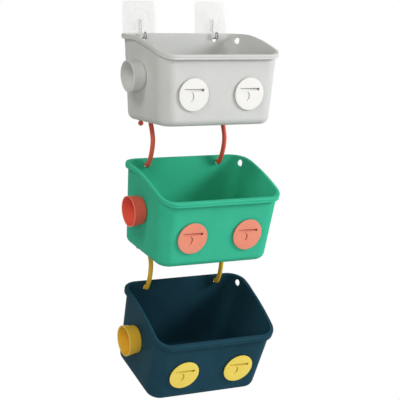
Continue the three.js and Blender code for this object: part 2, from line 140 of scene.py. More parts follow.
# Link hooks
ROD_RADIUS = 3.7 * MM
NECK_RADIUS = 2.8 * MM
BALL_RADIUS = 4.3 * MM
BALL_BLEND = 0.4 * MM
NECK_SPAN = (2, 3.2)  # from the end of the rod, in ball radii
ARCH_RADIUS = 11.6 * MM
ARCH_TOE = radians(15)
LEG_IN = 35 * MM
HOOK_DROP = 68.2 * MM
TAIL_IN = 5 * MM
TAIL_LENGTH = 9 * MM
TAIL_RISE = radians(13)
BOW_OUT = 7.4 * MM
BOW_PATH = ((0.6, 0.18), (1, 0.42))  # shares of the bow and of the drop, going out
RETURN_PATH = ((0.12, 0.62), (0.38, 0.82), (0.66, 0.955))  # the same from the bow back to the tail
TIP_DROP = 2.2 * MM
WEB_HALF = 3.6 * MM
SLOT_CLEARANCE = 1.8 * MM
SLOT_CORNER = 3.6 * MM
SWING_ROOM = 5 * MM
HOOK_ROLL = {"coral": radians(-1.6), "yellow": radians(-5.8)}

# Wall hooks
PLATE_SIZE = 60 * MM
PLATE_CORNER = 7 * MM
PLATE_THICK = 1.5 * MM
PLATE_ROUND = 0.5 * MM
PAD_SIZE = 56 * MM
PAD_THICK = 0.8 * MM
PAD_ROUND = 0.2 * MM
EDGE_MIDDLE = 0.3  # middle of a softened edge, as a share of its round
BOSS_RADIUS = 15.6 * MM
BOSS_FOOT_RADIUS = 7 * MM
BOSS_FOOT_DOWN = 13 * MM
BOSS_HEIGHT = 4.9 * MM
BOSS_DRAFT = 2.6 * MM
WIRE_RADIUS = 0.85 * MM
WIRE_SPACING = (3.6 * MM, 5.8 * MM, 3.4 * MM)  # in the boss, at the bin wall and at the tip
WIRE_BEND = 4.2 * MM
WIRE_TIP_RISE = 8 * MM
WIRE_RUN = 8.6 * MM
WIRE_DEPTH = 5.2 * MM  # wire's centre in front of the wall, inside the boss
WIRE_REFLECTION_SPAN = (-18 * MM, -8 * MM)  # y from the tip, darkened by a painted reflection, to the bright legs
WIRE_RUN_DOWN = 31.4 * MM  # run through the bin wall, below the plate's centre

# Mesh steps
CORNER_STEPS = 14
SIDE_STEPS = 36
END_STEPS = 36
WALL_STEPS = 8
ARC_STEPS = 6
BASE_STEPS = 10
FLOOR_RINGS = 6
GROOVE_STEPS = 10
TURN_STEPS = 128
HOLE_STEPS = 48
CURVE_STEPS = 12
BEND_STEPS = 10
BOSS_STEPS = 5
ROD_SIDES = 28
ROD_STEP = 0.4 * MM
MERGE_DISTANCE = 0.02 * MM
SMOOTH_ANGLE = radians(32)

# Finish of the moulded plastic
PIGMENT_CLOUD = (26, 4, 0.6)  # scale, detail and roughness of the noise
SHEEN_PATCHES = (90, 5, 0.65)
SHEEN_SPREAD = (-0.05, 0.06)
SKIN_GRAIN = (1500, 2)
SKIN_STRENGTH = 0.22
SKIN_DEPTH = 0.06 * MM
PLASTIC_IOR = 1.46

# Camera and studio
CAMERA_PLACE = (-1.032, -1.957, -0.0426)
CAMERA_AZIMUTH = radians(-28.85)
CAMERA_DOWN = radians(6.49)
CAMERA_LENS = 122.24
CAMERA_SENSOR = 36
CAMERA_REACH = 20
FLOOR_Z = -1.15
FLOOR_RADIUS = 1.4
LIT_PLACE = (0, -0.1, -0.3)
LAMP_DISTANCE = 2.5
LAMP_SIZE = 0.9
WORLD_LIGHT = 0.12
LAMPS = (  # name, degrees from the front to the right, degrees up, power and colour
    ("key", 56, 22, 45, (1, 1, 1)),
    ("front left", -25, 20, 8, (1, 0.99, 0.97)),
    ("left high", -60, 42, 17, (1, 0.97, 0.91)),
    ("left low", -55, 5, 11, (1, 0.97, 0.91)),
    ("low right", 40, -20, 10, (1, 1, 1)),
    ("back", 172, 14, 16, (1, 1, 1)),
)

MIRROR = {"left": -1, "right": 1}
joint_place = {joint["name"]: Vector(joint["pos_m"]) for joint in frame["joints"]}
mount_place = {mount["name"]: Vector(mount["pos_m"]) for mount in frame["record"]["mounts"]}


# Mesh helpers

def new_piece(name, points, faces):
    """A closed mesh object at the origin, with its faces turned outwards."""
    mesh = bpy.data.meshes.new(name)
    mesh.from_pydata([tuple(point) for point in points], [], faces)
    work = bmesh.new()
    work.from_mesh(mesh)
    bmesh.ops.recalc_face_normals(work, faces=work.faces)
    work.to_mesh(mesh)
    work.free()
    piece = bpy.data.objects.new(name, mesh)
    bpy.context.scene.collection.objects.link(piece)
    return piece


def settle(piece):
    """Turns a piece with its modifiers into a plain mesh."""
    graph = bpy.context.evaluated_depsgraph_get()
    mesh = bpy.data.meshes.new_from_object(piece.evaluated_get(graph))
    if piece.type == "MESH":
        piece.modifiers.clear()
        piece.data = mesh
        return piece
    plain = bpy.data.objects.new(piece.name, mesh)
    bpy.context.scene.collection.objects.link(plain)
    name = piece.name
    bpy.data.objects.remove(piece)
    plain.name = name
    return plain


def smooth(piece):
    """Smooth shading, with the true edges left sharp."""
    piece.data.shade_smooth()
    piece.data.set_sharp_from_angle(angle=SMOOTH_ANGLE)
    return piece


def cut(piece, cutters):
    """Cuts closed cutters out of a piece, then removes them."""
    for cutter in cutters:
        modifier = piece.modifiers.new("Cut", "BOOLEAN")
        modifier.operation = "DIFFERENCE"
        modifier.solver = "EXACT"
        modifier.object = cutter
    settle(piece)
    for cutter in cutters:
        bpy.data.objects.remove(cutter)
    return piece


def placed_copy(piece, name, matrix):
    """A copy of a piece whose place is in its mesh."""
    copy = bpy.data.objects.new(name, piece.data.copy())
    copy.data.name = name
    copy.data.transform(matrix)
    bpy.context.scene.collection.objects.link(copy)
    return copy


def arc(centre, radius, start, end, steps=ARC_STEPS):
    """Points of an arc in a section, between two angles in degrees."""
    points = []
    for step in range(steps + 1):
        angle = radians(start + (end - start) * step / steps)
        points.append((centre[0] + radius * cos(angle), centre[1] + radius * sin(angle)))
    return points


def ring_faces(first, second, count):
    """Quads between two closed rings of vertices."""
    faces = []
    for index in range(count):
        after = (index + 1) % count
        faces.append((first + index, first + after, second + after, second + index))
    return faces


def lofted(name, rings):
    """A closed solid through rings of equal count, with flat ends."""
    count = len(rings[0])
    points = [point for ring in rings for point in ring]
    faces = [tuple(range(count)), tuple(range(len(points) - count, len(points)))]
    for step in range(len(rings) - 1):
        faces += ring_faces(step * count, (step + 1) * count, count)
    return new_piece(name, points, faces)


def turned(name, profile):
    """A turned solid about +Z, from (radius, z) pairs that start and end on the axis."""
    points = [(0, 0, profile[0][1]), (0, 0, profile[-1][1])]
    for radius, z in profile[1:-1]:
        for step in range(TURN_STEPS):
            angle = 2 * pi * step / TURN_STEPS
            points.append((radius * cos(angle), radius * sin(angle), z))
    last = len(points) - TURN_STEPS
    faces = []
    for step in range(TURN_STEPS):
        after = (step + 1) % TURN_STEPS
        faces.append((0, 2 + after, 2 + step))
        faces.append((1, last + step, last + after))
    for ring in range(len(profile) - 3):
        faces += ring_faces(2 + ring * TURN_STEPS, 2 + (ring + 1) * TURN_STEPS, TURN_STEPS)
    return new_piece(name, points, faces)


def oval(width, height, grow=0.0):
    """Points of an oval as (across, up)."""
    across, up = width / 2 + grow, height / 2 + grow
    angles = [2 * pi * step / HOLE_STEPS for step in range(HOLE_STEPS)]
    return [(across * cos(angle), up * sin(angle)) for angle in angles]


def rounded_outline(width, height, radius, steps=ARC_STEPS):
    """Points of a rectangle with round corners, counter-clockwise."""
    across, up = width / 2 - radius, height / 2 - radius
    points = []
    for turn, (x, y) in enumerate(((across, up), (-across, up), (-across, -up), (across, -up))):
        points += arc((x, y), radius, 90 * turn, 90 * turn + 90, steps)
    return points


# Bin shell

def back_face(z):
    return -(BACK_HEIGHT - z) * tan(BACK_DRAFT)


def front_face(z):
    return -(BIN_DEPTH + z * tan(FRONT_DRAFT))


def side_face(z):
    return BIN_WIDTH / 2 + z * tan(SIDE_DRAFT)


def blend(low, high, share):
    return low + (high - low) * share


def eased(share):
    share = min(max(share, 0), 1)
    return share * share * (3 - 2 * share)


def rim_top(y):
    """Level at the back, then falling along the sides to the front."""
    end = front_face(FRONT_HEIGHT)
    share = min(max((-SLOPE_START - y) / (-SLOPE_START - end), 0), 1)
    return blend(BACK_HEIGHT, FRONT_HEIGHT, share ** SLOPE_EASE)


# Each corner as its side, whether it is at the back, and the angle at which it starts
CORNERS = ((1, False, -pi / 2), (1, True, 0), (-1, True, pi / 2), (-1, False, pi))


def corner_point(corner, share, z, out):
    """A point of the bin's plan at a height, pushed out from the wall by a distance."""
    side, back, start = corner
    radius = CORNER_RADIUS + out
    x = side * (side_face(z) + out - radius)
    y = back_face(z) + out - radius if back else front_face(z) - out + radius
    angle = start + share * pi / 2
    return Vector((x + radius * cos(angle), y + radius * sin(angle), z))


def plan_stations():
    """Places round the plan: corner, share, next corner, share of the straight run, lip, front."""
    stations = []
    for index, corner in enumerate(CORNERS):
        following = CORNERS[(index + 1) % len(CORNERS)]
        for step in range(CORNER_STEPS + 1):
            share = step / CORNER_STEPS
            towards_end = share if corner[1] == (corner[0] > 0) else 1 - share
            lip = eased(towards_end) if corner[1] else 0
            front = 0 if corner[1] else eased(towards_end)
            stations.append((corner, share, following, 0, lip, front))
        along_side = corner[0] == following[0]
        straight = SIDE_STEPS if along_side else END_STEPS
        lip = 1 if corner[1] and following[1] else 0
        front = 0 if corner[1] or following[1] else 1
        for step in range(1, straight):
            stations.append((corner, 1, following, step / straight, lip, front))
    return stations


def station_point(station, z, out):
    corner, share, following, run = station[:4]
    point = corner_point(corner, share, z, out)
    return point.lerp(corner_point(following, 0, z, out), run) if run else point


def wall_section(station):
    """The wall's section as (offset, z), from under the floor, over the rim, to inside the floor."""
    lip, front = station[4:]
    y = station_point(station, FRONT_HEIGHT, 0).y
    top = rim_top(y)
    slim = eased((-y - SIDE_SPAN[0]) / (SIDE_SPAN[1] - SIDE_SPAN[0]))
    out = blend(blend(CORNER_OUT, BACK_LIP_OUT, lip), blend(SIDE_OUT, RIM_OUT, front), slim)
    height = blend(blend(RIM_HEIGHT, BACK_LIP_HEIGHT, lip), blend(SIDE_HEIGHT, RIM_HEIGHT, front), slim)
    skirt = top - height
    section = arc((-BASE_RADIUS, BASE_RADIUS), BASE_RADIUS, -90, 0, BASE_STEPS)

    inside = max(out - RIM_THICK, RIM_GAP)
    fillet = min(UNDER_WALL_FILLET, inside * FILLET_LIMIT)
    under = top - RIM_THICK
    wall_end = under - fillet
    for step in range(1, WALL_STEPS):
        section.append((0, blend(BASE_RADIUS, wall_end, step / WALL_STEPS)))
    section += arc((fillet, wall_end), fillet, 180, 90)
    section += arc((inside - fillet, under - fillet), fillet, 90, 0)

    edge = SKIRT_EDGE_ROUND
    section += arc((inside + edge, skirt + edge), edge, 180, 270)
    section += arc((out - edge, skirt + edge), edge, 270, 360)
    depth = GROOVE_DEPTH * min(out / RIM_OUT, height / RIM_HEIGHT)
    for step in range(GROOVE_STEPS + 1):
        share = step / GROOVE_STEPS
        z = skirt + height * blend(*GROOVE_SPAN, share)
        section.append((out - depth * (1 - cos(2 * pi * share)) / 2, z))
    outer = min(blend(SIDE_OUTER_ROUND, RIM_OUTER_ROUND, front), height * (1 - GROOVE_SPAN[1]))
    section += arc((out - outer, top - outer), outer, 0, 90)
    section += arc((RIM_INNER_ROUND - WALL, top - RIM_INNER_ROUND), RIM_INNER_ROUND, 90, 180)

    inner_radius = BASE_RADIUS - WALL
    base = WALL + inner_radius
    for step in range(1, WALL_STEPS):
        section.append((-WALL, blend(top - RIM_INNER_ROUND, base, step / WALL_STEPS)))
    section += arc((-WALL - inner_radius, base), inner_radius, 0, -90, BASE_STEPS)
    return section


def bin_rings():
    """Rings of points from the middle under the floor, round the wall, to the middle of the floor."""
    stations = plan_stations()
    sections = [wall_section(station) for station in stations]
    rings = []
    for level in zip(*sections):
        rings.append([station_point(station, z, out) for station, (out, z) in zip(stations, level)])

    def towards_middle(ring):
        middle = Vector((0, (back_face(0) + front_face(0)) / 2, ring[0].z))
        shares = [step / FLOOR_RINGS for step in range(1, FLOOR_RINGS)]
        return [[point.lerp(middle, share) for point in ring] for share in shares]

    return towards_middle(rings[0])[::-1] + rings + towards_middle(rings[-1])


def hang_hole_cutter(side):
    """An oval hole through the back wall, chamfered on both faces."""
    z = BACK_HEIGHT - HANG_HOLE_TOP - HANG_HOLE_HEIGHT / 2
    outer = back_face(z)
    chamfer = HOLE_CHAMFER
    depths = [(CUT_MARGIN, chamfer), (0, chamfer), (-chamfer, 0)]
    depths += [(chamfer - WALL, 0), (-WALL, chamfer), (-WALL - CUT_MARGIN, chamfer)]
    rings = []
    for depth, grow in depths:
        outline = oval(HANG_HOLE_WIDTH, HANG_HOLE_HEIGHT, grow)
        rings.append([(side * HANG_X + x, outer + depth, z + up) for x, up in outline])
    return lofted("hang_hole", rings)


def side_hole_cutter():
    """An oval hole through the right wall at its back corner, and through the skirt outside it."""
    z = BACK_HEIGHT - SIDE_HOLE_DOWN
    middle = side_face(z)
    outline = oval(SIDE_HOLE_WIDTH, SIDE_HOLE_HEIGHT)
    reach = RIM_OUT + CUT_MARGIN
    ends = (middle - reach, middle + reach)
    return lofted("side_hole", [[(x, y - SIDE_HOLE_IN, z + up) for y, up in outline] for x in ends])


def stem_hole_cutter(place):
    radius = STEM_RADIUS + SEAT_GAP
    rings = []
    for depth in (-WALL - CUT_MARGIN, CUT_MARGIN):
        rings.append([place @ Vector((x, y, depth)) for x, y in oval(2 * radius, 2 * radius)])
    return lofted("stem_hole", rings)


# The arch of a link hook stands on the two edges of the bar between its floor slots
arch_inside = ARCH_RADIUS - ROD_RADIUS - SEAT_GAP
arch_below_floor = sqrt(arch_inside ** 2 - WEB_HALF ** 2) - WALL
arch_reach = sqrt((ARCH_RADIUS + ROD_RADIUS) ** 2 - arch_below_floor ** 2) + SLOT_CLEARANCE
arch_offset = Vector((ARCH_RADIUS * sin(ARCH_TOE), ARCH_RADIUS * cos(ARCH_TOE)))
arch_centre = Vector((HANG_X + arch_offset.x, arch_offset.y - LEG_IN, -arch_below_floor))


def floor_slot_cutters(side):
    """Two slots in line with the arch, the front one carried on forwards under the rod."""
    width = 2 * (ROD_RADIUS + SLOT_CLEARANCE)
    length = arch_reach - WEB_HALF
    middle = Vector((side * arch_centre.x, arch_centre.y, 0))
    shapes = []
    for end in (-1, 1):
        along = Matrix.Translation((0, end * (WEB_HALF + length / 2), 0))
        turn = Matrix.Rotation(-side * ARCH_TOE, 4, "Z")
        shapes.append((length, Matrix.Translation(middle) @ turn @ along))
    swing = Matrix.Translation((side * HANG_X, -LEG_IN - SWING_ROOM / 2, 0))
    shapes.append((width + SWING_ROOM, swing))
    cutters = []
    for length, place in shapes:
        outline = rounded_outline(width, length, SLOT_CORNER)
        levels = (-CUT_MARGIN, BASE_RADIUS)
        sections = [[place @ Vector((x, y, z)) for x, y in outline] for z in levels]
        cutters.append(lofted("floor_slot", sections))
    return cutters


def disc_place(side):
    turn = Matrix.Rotation(pi / 2 + FRONT_DRAFT, 4, "X")
    return Matrix.Translation((side * DISC_X, front_face(DISC_Z), DISC_Z)) @ turn


def cup_place():
    turn = Matrix.Rotation(-(pi / 2 + SIDE_DRAFT), 4, "Y")
    return Matrix.Translation((-side_face(CUP_Z), -CUP_IN, CUP_Z)) @ turn


def bin_shell():
    shell = lofted("bin_shell", bin_rings())
    cutters = [side_hole_cutter(), stem_hole_cutter(cup_place())]
    for side in MIRROR.values():
        cutters.append(hang_hole_cutter(side))
        cutters.append(stem_hole_cutter(disc_place(side)))
        cutters += floor_slot_cutters(side)
    return smooth(cut(shell, cutters))


# Pieces on the bin

def stem_profile():
    """Snap stem as (radius, z), from its tip on the axis to the piece's back."""
    behind = -(WALL + SEAT_GAP)
    tip = behind - BARB_LENGTH
    waist = STEM_RADIUS - BARB_OUT
    barb = STEM_RADIUS + BARB_OUT
    return [(0, tip), (waist, tip), (barb, behind - BARB_OUT), (barb, behind), (STEM_RADIUS, behind),
            (STEM_RADIUS, SEAT_GAP)]


def recess_cutter(outline, depths):
    """A recess in the disc's face with a flat floor that falls from the left end to the right."""
    left, right = min(x for x, _ in outline), max(x for x, _ in outline)
    floor = []
    for x, y in outline:
        floor.append((x, y, DISC_THICK - blend(*depths, (x - left) / (right - left))))
    mouth = [(x, y, DISC_THICK + CUT_MARGIN) for x, y in outline]
    return lofted("recess", [floor, mouth])


def disc_recesses():
    """Cutters for the slot, the line and the pit in it, the round pocket and the crescent in that."""
    slot = rounded_outline(SLOT_LENGTH, SLOT_HEIGHT, SLOT_HEIGHT / 4)
    line = rounded_outline(SLOT_LENGTH, LINE_HEIGHT, LINE_HEIGHT / 3)
    pit = rounded_outline(PIT_LENGTH, SLOT_HEIGHT, SLOT_HEIGHT / 4)
    pocket = oval(2 * POCKET_RADIUS, 2 * POCKET_RADIUS)
    crescent = arc((0, 0), POCKET_RADIUS, *CRESCENT_ANGLES, 4 * ARC_STEPS)
    crescent += [(x * (1 - CRESCENT_WIDTH / POCKET_RADIUS), y) for x, y in reversed(crescent)]
    line_up = SLOT_UP + (SLOT_HEIGHT - LINE_HEIGHT) / 2
    pit_x = (SLOT_LENGTH - PIT_LENGTH) / 2
    recesses = (
        (slot, 0, SLOT_UP, SLOT_DEPTHS),
        (line, 0, line_up, LINE_DEPTHS),
        (pit, pit_x, SLOT_UP, PIT_DEPTHS),
        (pocket, POCKET_X, -POCKET_DOWN, POCKET_DEPTHS),
        (crescent, POCKET_X, -POCKET_DOWN, CRESCENT_DEPTHS),
    )
    cutters = []
    for outline, across, up, depths in recesses:
        cutters.append(recess_cutter([(x + across, y + up) for x, y in outline], depths))
    return cutters


def painted_disc_shade(point):
    """How much painted shade the plastic gets at a point: full deep in a recess, and high on the undercut
    edge.
    """
    if point.xy.length > DISC_RADIUS - DISC_BACK_ROUND:
        undercut = (SEAT_GAP + DISC_BACK_ROUND + DISC_THICK - DISC_FACE_ROUND) / 2
        return EDGE_SHADE if point.z < undercut else 0
    depth = DISC_THICK - point.z
    start, full = SHADE_DEPTHS
    if depth > full + SEAT_GAP / 2:
        return 0
    return min(max((depth - start) / (full - start), 0), 1)


def front_disc():
    edge, back = DISC_FACE_ROUND, DISC_BACK_ROUND
    profile = stem_profile()
    profile += arc((DISC_RADIUS - back, SEAT_GAP + back), back, -90, 0)
    profile += arc((DISC_RADIUS - edge, DISC_THICK - edge), edge, 0, 90)
    profile += [(DISC_RADIUS / 2, DISC_THICK), (0, DISC_THICK)]
    disc = cut(turned("front_disc", profile), disc_recesses())
    # Painted shade deep in the recesses and on the undercut edge, carried on the points.
    shade = disc.data.attributes.new("recess", "FLOAT", "POINT")
    for vertex in disc.data.vertices:
        shade.data[vertex.index].value = painted_disc_shade(vertex.co)
    return smooth(disc)


def side_cup():
    """A short flared cup with a rounded lip and a rounded foot inside and out."""
    lip = CUP_WALL / 2
    foot = CUP_BASE_EDGE
    floor = SEAT_GAP + CUP_WALL
    inner = CUP_BASE_RADIUS - CUP_WALL
    profile = stem_profile()
    profile += arc((CUP_BASE_RADIUS - foot, SEAT_GAP + foot), foot, -90, 0)
    profile += arc((CUP_MOUTH_RADIUS - lip, CUP_LENGTH - lip), lip, 0, 180, 2 * ARC_STEPS)
    profile += arc((inner - foot, floor + foot), foot, 0, -90)
    profile += [(STEM_RADIUS, floor), (0, floor)]
    cup = turned("side_cup", profile)
    # The lip's round carries a painted highlight.
    painted_lip_highlight = cup.data.attributes.new("lip", "FLOAT", "POINT")
    for vertex in cup.data.vertices:
        painted_lip_highlight.data[vertex.index].value = float(vertex.co.z > CUP_LENGTH - LIP_HIGHLIGHT_SPAN * lip)
    return smooth(cup)


# Rods along a path

def smooth_path(points):
    """A centripetal Catmull-Rom curve through the points, as a dense line of points."""
    points = [Vector(point) for point in points]
    before = points[0] * 2 - points[1]
    after = points[-1] * 2 - points[-2]
    padded = [before, *points, after]
    dense = [points[0]]
    for start in range(len(points) - 1):
        p0, p1, p2, p3 = padded[start:start + 4]
        t1 = sqrt((p1 - p0).length)
        t2 = t1 + sqrt((p2 - p1).length)
        t3 = t2 + sqrt((p3 - p2).length)
        for step in range(1, CURVE_STEPS + 1):
            t = blend(t1, t2, step / CURVE_STEPS)
            a1 = p0.lerp(p1, t / t1)
            a2 = p1.lerp(p2, (t - t1) / (t2 - t1))
            a3 = p2.lerp(p3, (t - t2) / (t3 - t2))
            b1 = a1.lerp(a2, t / t2)
            b2 = a2.lerp(a3, (t - t1) / (t3 - t1))
            dense.append(b1.lerp(b2, (t - t1) / (t2 - t1)))
    return dense


def rod_tree():
    """Geometry Nodes that make a round rod along a curve, with a ball on a neck at each end."""
    tree = bpy.data.node_groups.new("Rod with ball ends", "GeometryNodeTree")
    face = tree.interface
    face.new_socket("Path", in_out="INPUT", socket_type="NodeSocketGeometry")
    sizes = {}
    for name in ("Rod radius", "Neck radius", "Ball radius", "Step length"):
        sizes[name] = face.new_socket(name, in_out="INPUT", socket_type="NodeSocketFloat").identifier
    sizes["Sides"] = face.new_socket("Sides", in_out="INPUT", socket_type="NodeSocketInt").identifier
    finish = face.new_socket("Finish", in_out="INPUT", socket_type="NodeSocketMaterial")
    sizes["Finish"] = finish.identifier
    face.new_socket("Rod", in_out="OUTPUT", socket_type="NodeSocketGeometry")
    nodes, links = tree.nodes, tree.links
    given = nodes.new("NodeGroupInput").outputs

    def math(operation, *values):
        node = nodes.new("ShaderNodeMath")
        node.operation = operation
        for socket, value in zip(node.inputs, values):
            if isinstance(value, (int, float)):
                socket.default_value = value
            else:
                links.new(value, socket)
        return node.outputs[0]

    resample = nodes.new("GeometryNodeResampleCurve")
    resample.mode = "LENGTH"
    links.new(given["Path"], resample.inputs["Curve"])
    links.new(given["Step length"], resample.inputs["Length"])

    # distance from the nearer end of the rod
    walked = nodes.new("GeometryNodeSplineParameter").outputs["Length"]
    whole = nodes.new("GeometryNodeSplineLength").outputs["Length"]
    from_end = math("MINIMUM", walked, math("SUBTRACT", whole, walked))

    ball = given["Ball radius"]
    off_centre = math("SUBTRACT", from_end, ball)
    squared = math("SUBTRACT", math("MULTIPLY", ball, ball), math("MULTIPLY", off_centre, off_centre))
    ball_outline = math("SQRT", math("MAXIMUM", squared, 0))

    neck = nodes.new("ShaderNodeMapRange")
    neck.interpolation_type = "SMOOTHSTEP"
    links.new(from_end, neck.inputs["Value"])
    links.new(math("MULTIPLY", ball, NECK_SPAN[0]), neck.inputs["From Min"])
    links.new(math("MULTIPLY", ball, NECK_SPAN[1]), neck.inputs["From Max"])
    links.new(given["Neck radius"], neck.inputs["To Min"])
    links.new(given["Rod radius"], neck.inputs["To Max"])
    past_centre = math("GREATER_THAN", off_centre, 0)
    rod_outline = math("MULTIPLY", neck.outputs["Result"], past_centre)
    radius = math("SMOOTH_MAX", ball_outline, rod_outline, BALL_BLEND)

    section = nodes.new("GeometryNodeCurvePrimitiveCircle")
    section.inputs["Radius"].default_value = 1
    links.new(given["Sides"], section.inputs["Resolution"])
    sweep = nodes.new("GeometryNodeCurveToMesh")
    sweep.inputs["Fill Caps"].default_value = True
    links.new(resample.outputs["Curve"], sweep.inputs["Curve"])
    links.new(section.outputs["Curve"], sweep.inputs["Profile Curve"])
    links.new(radius, sweep.inputs["Scale"])

    close = nodes.new("GeometryNodeMergeByDistance")
    close.inputs["Distance"].default_value = MERGE_DISTANCE
    links.new(sweep.outputs["Mesh"], close.inputs["Geometry"])
    shade = nodes.new("GeometryNodeSetShadeSmooth")
    links.new(close.outputs["Geometry"], shade.inputs["Geometry"])
    realize = nodes.new("GeometryNodeRealizeInstances")
    links.new(shade.outputs["Geometry"], realize.inputs["Geometry"])
    paint = nodes.new("GeometryNodeSetMaterial")
    links.new(realize.outputs["Geometry"], paint.inputs["Geometry"])
    links.new(given["Finish"], paint.inputs["Material"])
    links.new(paint.outputs["Geometry"], nodes.new("NodeGroupOutput").inputs["Rod"])
    return tree, sizes


ROD_TREE, ROD_INPUTS = rod_tree()


def rod(name, path, finish, rod_radius, neck_radius, ball_radius):
    """A rod along a line of points, as a plain mesh."""
    curve = bpy.data.curves.new(name, "CURVE")
    curve.dimensions = "3D"
    spline = curve.splines.new("POLY")
    spline.points.add(len(path) - 1)
    for point, place in zip(spline.points, path):
        point.co = (*place, 1)
    piece = bpy.data.objects.new(name, curve)
    bpy.context.scene.collection.objects.link(piece)
    sweep = piece.modifiers.new("Rod", "NODES")
    sweep.node_group = ROD_TREE
    values = {"Rod radius": rod_radius, "Neck radius": neck_radius, "Ball radius": ball_radius}
    values.update({"Step length": ROD_STEP, "Sides": ROD_SIDES, "Finish": finish})
    for label, value in values.items():
        sweep[ROD_INPUTS[label]] = value
    return settle(piece)


def link_hook_path(side):
    """Ball tip, arch, bowed rod, then a tail through the next bin's back wall, about the arch's centre."""
    points = []

    def on_arch(angle, drop=0.0):
        reach = cos(angle)
        return Vector((side * arch_offset.x * reach, arch_offset.y * reach, ARCH_RADIUS * sin(angle) - drop))

    points.append(on_arch(0, TIP_DROP + BALL_RADIUS))
    points += [on_arch(pi * step / BEND_STEPS) for step in range(BEND_STEPS + 1)]
    leg_x = -side * arch_offset.x
    leg_y = -arch_offset.y
    bow_y = leg_y - BOW_OUT
    for path, start, end in ((BOW_PATH, leg_y, bow_y), (RETURN_PATH, bow_y, TAIL_IN)):
        points += [Vector((leg_x, blend(start, end, share), -HOOK_DROP * drop)) for share, drop in path]
    tail = Vector((leg_x, TAIL_IN, -HOOK_DROP))
    rise = Vector((0, cos(TAIL_RISE), sin(TAIL_RISE)))
    points.append(tail - Vector((0, ROD_RADIUS, sin(TAIL_RISE) * ROD_RADIUS)))
    points += [tail, tail + rise * (TAIL_LENGTH + BALL_RADIUS)]
    return smooth_path(points)


def link_hook(color, side_name, finish):
    side = MIRROR[side_name]
    roll = Matrix.Rotation(HOOK_ROLL[color], 4, "X")
    place = Matrix.Translation(joint_place[f"{color}_hook_swing"]) @ roll
    beside = Matrix.Translation((side * arch_centre.x, 0, 0))
    path = [place @ beside @ point for point in link_hook_path(side)]
    return rod(f"{color}_hook_{side_name}_rod", path, finish, ROD_RADIUS, NECK_RADIUS, BALL_RADIUS)


# Wall hooks, about the middle of the plate on the wall

PLATE_BACK = -(PAD_THICK + SEAT_GAP)
PLATE_FRONT = PLATE_BACK - PLATE_THICK


def rounded_slab(name, size, corner, back, front, edge):
    """A square slab against the wall with rounded corners and softened edges."""
    rings = []
    middle = edge * EDGE_MIDDLE
    for depth, inset in ((back, 0), (front + edge, 0), (front + middle, middle), (front, edge)):
        outline = rounded_outline(size - 2 * inset, size - 2 * inset, corner - inset)
        rings.append([(x, depth, z) for x, z in outline])
    return lofted(name, rings)


def boss_outline(inset):
    """A round boss drawn down to a narrower foot, where the wires come out."""
    large, small = BOSS_RADIUS - inset, BOSS_FOOT_RADIUS - inset
    lean = asin((large - small) / BOSS_FOOT_DOWN) * 180 / pi
    points = arc((0, 0), large, -lean, 180 + lean, 4 * ARC_STEPS)
    points += arc((0, -BOSS_FOOT_DOWN), small, 180 + lean, 360 - lean, 2 * ARC_STEPS)
    return points


def wall_plate(name):
    plate = rounded_slab(name, PLATE_SIZE, PLATE_CORNER, PLATE_BACK, PLATE_FRONT, PLATE_ROUND)
    rings = [[(x, PLATE_FRONT + PLATE_ROUND, z) for x, z in boss_outline(0)]]
    for step in range(BOSS_STEPS + 1):
        share = step / BOSS_STEPS
        rise = sin(share * pi / 2)
        inset = BOSS_DRAFT * (1 - cos(share * pi / 2))
        rings.append([(x, PLATE_FRONT - BOSS_HEIGHT * rise, z) for x, z in boss_outline(inset)])
    boss = lofted("boss", rings)
    join = plate.modifiers.new("Join", "BOOLEAN")
    join.operation = "UNION"
    join.solver = "EXACT"
    join.object = boss
    settle(plate)
    bpy.data.objects.remove(boss)
    bores = []
    for side in MIRROR.values():
        bore = WIRE_RADIUS + 2 * SEAT_GAP
        outline = [(side * WIRE_SPACING[0] / 2 + x, y - WIRE_DEPTH) for x, y in oval(2 * bore, 2 * bore)]
        levels = (-BOSS_FOOT_DOWN - BOSS_FOOT_RADIUS - CUT_MARGIN, 0)
        bores.append(lofted("wire_bore", [[(x, y, z) for x, y in outline] for z in levels]))
    return smooth(cut(plate, bores))


def wire_path():
    """Both legs of the hairpin: down out of the boss, out through the bin wall, and up to the tip."""
    top, low, tip = (spacing / 2 for spacing in WIRE_SPACING)
    run_y = -WIRE_DEPTH - WIRE_BEND
    tip_y = run_y - WIRE_RUN - WIRE_BEND
    centre_z = WIRE_BEND - WIRE_RUN_DOWN
    boss_end = -BOSS_FOOT_DOWN - BOSS_FOOT_RADIUS
    leg = [(top, -WIRE_DEPTH, -WIRE_RADIUS), (top, -WIRE_DEPTH, boss_end)]
    leg += [(low, run_y + y, centre_z + z) for y, z in arc((0, 0), WIRE_BEND, 0, -90)]
    rise = arc((0, 0), WIRE_BEND, -90, -180)
    for step, (y, z) in enumerate(rise):
        leg.append((blend(low, tip, step / (len(rise) - 1)), run_y - WIRE_RUN + y, centre_z + z))
    tip_z = WIRE_TIP_RISE - WIRE_RUN_DOWN
    leg += [(x, tip_y, tip_z + z) for x, z in arc((0, 0), tip, 0, 90)]
    other = [(-x, y, z) for x, y, z in reversed(leg[:-1])]
    return smooth_path(leg + other)


# Materials

def finish_nodes(name):
    material = bpy.data.materials.new(name)
    material.use_nodes = True
    nodes = material.node_tree.nodes
    return material, nodes, material.node_tree.links, nodes["Principled BSDF"]


def noise(nodes, links, scale, detail, roughness=0.5):
    """Noise in the object's own coordinates."""
    place = nodes.new("ShaderNodeTexCoord")
    node = nodes.new("ShaderNodeTexNoise")
    node.inputs["Scale"].default_value = scale
    node.inputs["Detail"].default_value = detail
    node.inputs["Roughness"].default_value = roughness
    links.new(place.outputs["Object"], node.inputs["Vector"])
    return node.outputs["Fac"]


def ranged(nodes, links, value, low, high, spread=(0.3, 0.7)):
    node = nodes.new("ShaderNodeMapRange")
    node.inputs["From Min"].default_value = spread[0]
    node.inputs["From Max"].default_value = spread[1]
    node.inputs["To Min"].default_value = low
    node.inputs["To Max"].default_value = high
    links.new(value, node.inputs["Value"])
    return node.outputs["Result"]


